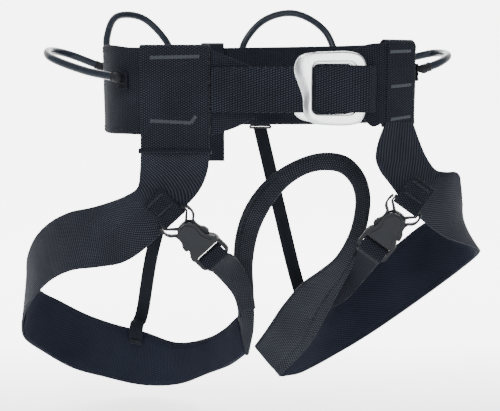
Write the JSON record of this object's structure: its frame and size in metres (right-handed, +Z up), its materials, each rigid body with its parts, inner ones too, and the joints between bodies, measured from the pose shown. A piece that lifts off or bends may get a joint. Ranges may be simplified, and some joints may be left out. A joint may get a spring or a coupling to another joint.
{
  "type": "climbing harness",
  "caption": "Unpadded alpine climbing harness: webbing waist belt with metal buckle, two adjustable leg loops, tie-in loop and gear loops.",
  "frame": {"origin": "centre of the waist opening, halfway up the waist belt", "axes": "+Z up as worn, -Y the wearer's front, +X to the right of someone facing the front"},
  "size_m": [0.5047, 0.2515, 0.4446],
  "materials": {
    "webbing": "woven",
    "narrow_webbing": "woven",
    "elastic": "woven",
    "padding": "knitted",
    "aluminium_frame": "polished",
    "gear_loop_sheath": "gloss",
    "buckle_plastic": "satin",
    "slider_plastic": "satin"
  },
  "bodies": {
    "waist": {"waist_belt": "webbing", "left_belt_end": "webbing", "left_belt_tab": "webbing", "right_belt_tab": "webbing", "right_belt_flap": "webbing", "waist_strap": "webbing", "anchor_strap": "webbing", "buckle_back_frame": "aluminium_frame", "haul_loop": "webbing", "left_riser": "elastic", "right_riser": "elastic", "left_riser_slider": "slider_plastic", "right_riser_slider": "slider_plastic", "front_left_gear_tab_front": "webbing", "front_left_gear_tab_back": "webbing", "rear_left_gear_tab_front": "webbing", "rear_left_gear_tab_back": "webbing", "rear_right_gear_tab_front": "webbing", "rear_right_gear_tab_back": "webbing", "front_right_gear_tab_front": "webbing", "front_right_gear_tab_back": "webbing"},
    "legs": {"left_leg_strap": "webbing", "left_leg_pad": "padding", "right_leg_strap": "webbing", "right_leg_pad": "padding", "tie_in_loop": "webbing", "left_buckle_tab": "narrow_webbing", "left_buckle_male": "buckle_plastic", "right_buckle_tab": "narrow_webbing", "right_buckle_male": "buckle_plastic", "left_buckle_webbing": "narrow_webbing", "right_buckle_webbing": "narrow_webbing"},
    "waist_buckle": {"buckle_front_frame": "aluminium_frame"},
    "front_left_gear_loop": {"front_left_gear_loop": "gear_loop_sheath"},
    "rear_left_gear_loop": {"rear_left_gear_loop": "gear_loop_sheath"},
    "rear_right_gear_loop": {"rear_right_gear_loop": "gear_loop_sheath"},
    "front_right_gear_loop": {"front_right_gear_loop": "gear_loop_sheath"},
    "left_housing": {"left_buckle_housing": "buckle_plastic"},
    "left_prong_right": {"left_buckle_prong_right": "buckle_plastic"},
    "left_prong_left": {"left_buckle_prong_left": "buckle_plastic"},
    "right_housing": {"right_buckle_housing": "buckle_plastic"},
    "right_prong_right": {"right_buckle_prong_right": "buckle_plastic"},
    "right_prong_left": {"right_buckle_prong_left": "buckle_plastic"}
  },
  "joints": [
    {"name": "legs_swing", "type": "hinge", "parent": "waist", "child": "legs", "pos_m": [-0.079, -0.0945, -0.055], "axis": [0.9898, 0.0831, 0.1154], "range_deg": [-10, 12], "deforming": ["left_riser", "right_riser"]},
    {"name": "waist_buckle_tilt", "type": "hinge", "parent": "waist", "child": "waist_buckle", "pos_m": [0.0945, -0.1025, 0.004], "axis": [0, 0, 1], "range_deg": [0, 15]},
    {"name": "front_left_gear_loop_fold", "type": "hinge", "parent": "waist", "child": "front_left_gear_loop", "pos_m": [-0.14965, -0.03173, 0.019], "axis": [0.2904, -0.953, -0.0864], "range_deg": [-30, 50]},
    {"name": "rear_left_gear_loop_fold", "type": "hinge", "parent": "waist", "child": "rear_left_gear_loop", "pos_m": [-0.12738, 0.07349, 0.024], "axis": [-0.7472, -0.6646, 0], "range_deg": [0, 110]},
    {"name": "rear_right_gear_loop_fold", "type": "hinge", "parent": "waist", "child": "rear_right_gear_loop", "pos_m": [0.03767, 0.10715, 0.024], "axis": [-0.9951, 0.0984, 0], "range_deg": [0, 110]},
    {"name": "front_right_gear_loop_fold", "type": "hinge", "parent": "waist", "child": "front_right_gear_loop", "pos_m": [0.16051, -0.01076, 0.027], "axis": [-0.0755, 0.9871, 0.1414], "range_deg": [-30, 50]},
    {"name": "left_buckle_release", "type": "slide", "parent": "legs", "child": "left_housing", "axis": [0.6823, 0.1498, -0.7156], "range_m": [0, 0.01], "deforming": ["left_buckle_webbing"]},
    {"name": "left_buckle_prong_right_squeeze", "type": "hinge", "parent": "legs", "child": "left_prong_right", "pos_m": [-0.06851, -0.11045, -0.10468], "axis": [0.0533, -0.9864, -0.1557], "range_deg": [-13, 0]},
    {"name": "left_buckle_prong_left_squeeze", "type": "hinge", "parent": "legs", "child": "left_prong_left", "pos_m": [-0.09213, -0.10825, -0.12675], "axis": [0.0533, -0.9864, -0.1557], "range_deg": [0, 13]},
    {"name": "right_buckle_release", "type": "slide", "parent": "legs", "child": "right_housing", "axis": [-0.5144, 0.279, -0.8109], "range_m": [0, 0.01], "deforming": ["right_buckle_webbing"]},
    {"name": "right_buckle_prong_right_squeeze", "type": "hinge", "parent": "legs", "child": "right_prong_right", "pos_m": [0.15256, -0.11034, -0.11401], "axis": [-0.2893, -0.9466, -0.1422], "range_deg": [-13, 0]},
    {"name": "right_buckle_prong_left_squeeze", "type": "hinge", "parent": "legs", "child": "right_prong_left", "pos_m": [0.12641, -0.10511, -0.09561], "axis": [-0.2893, -0.9466, -0.1422], "range_deg": [0, 13]}
  ],
  "couplings": [
    {"joint": "left_buckle_prong_right_squeeze", "follows": "left_buckle_release", "rad_per_m": -21},
    {"joint": "left_buckle_prong_left_squeeze", "follows": "left_buckle_release", "rad_per_m": 21},
    {"joint": "right_buckle_prong_right_squeeze", "follows": "right_buckle_release", "rad_per_m": -21},
    {"joint": "right_buckle_prong_left_squeeze", "follows": "right_buckle_release", "rad_per_m": 21}
  ]
}
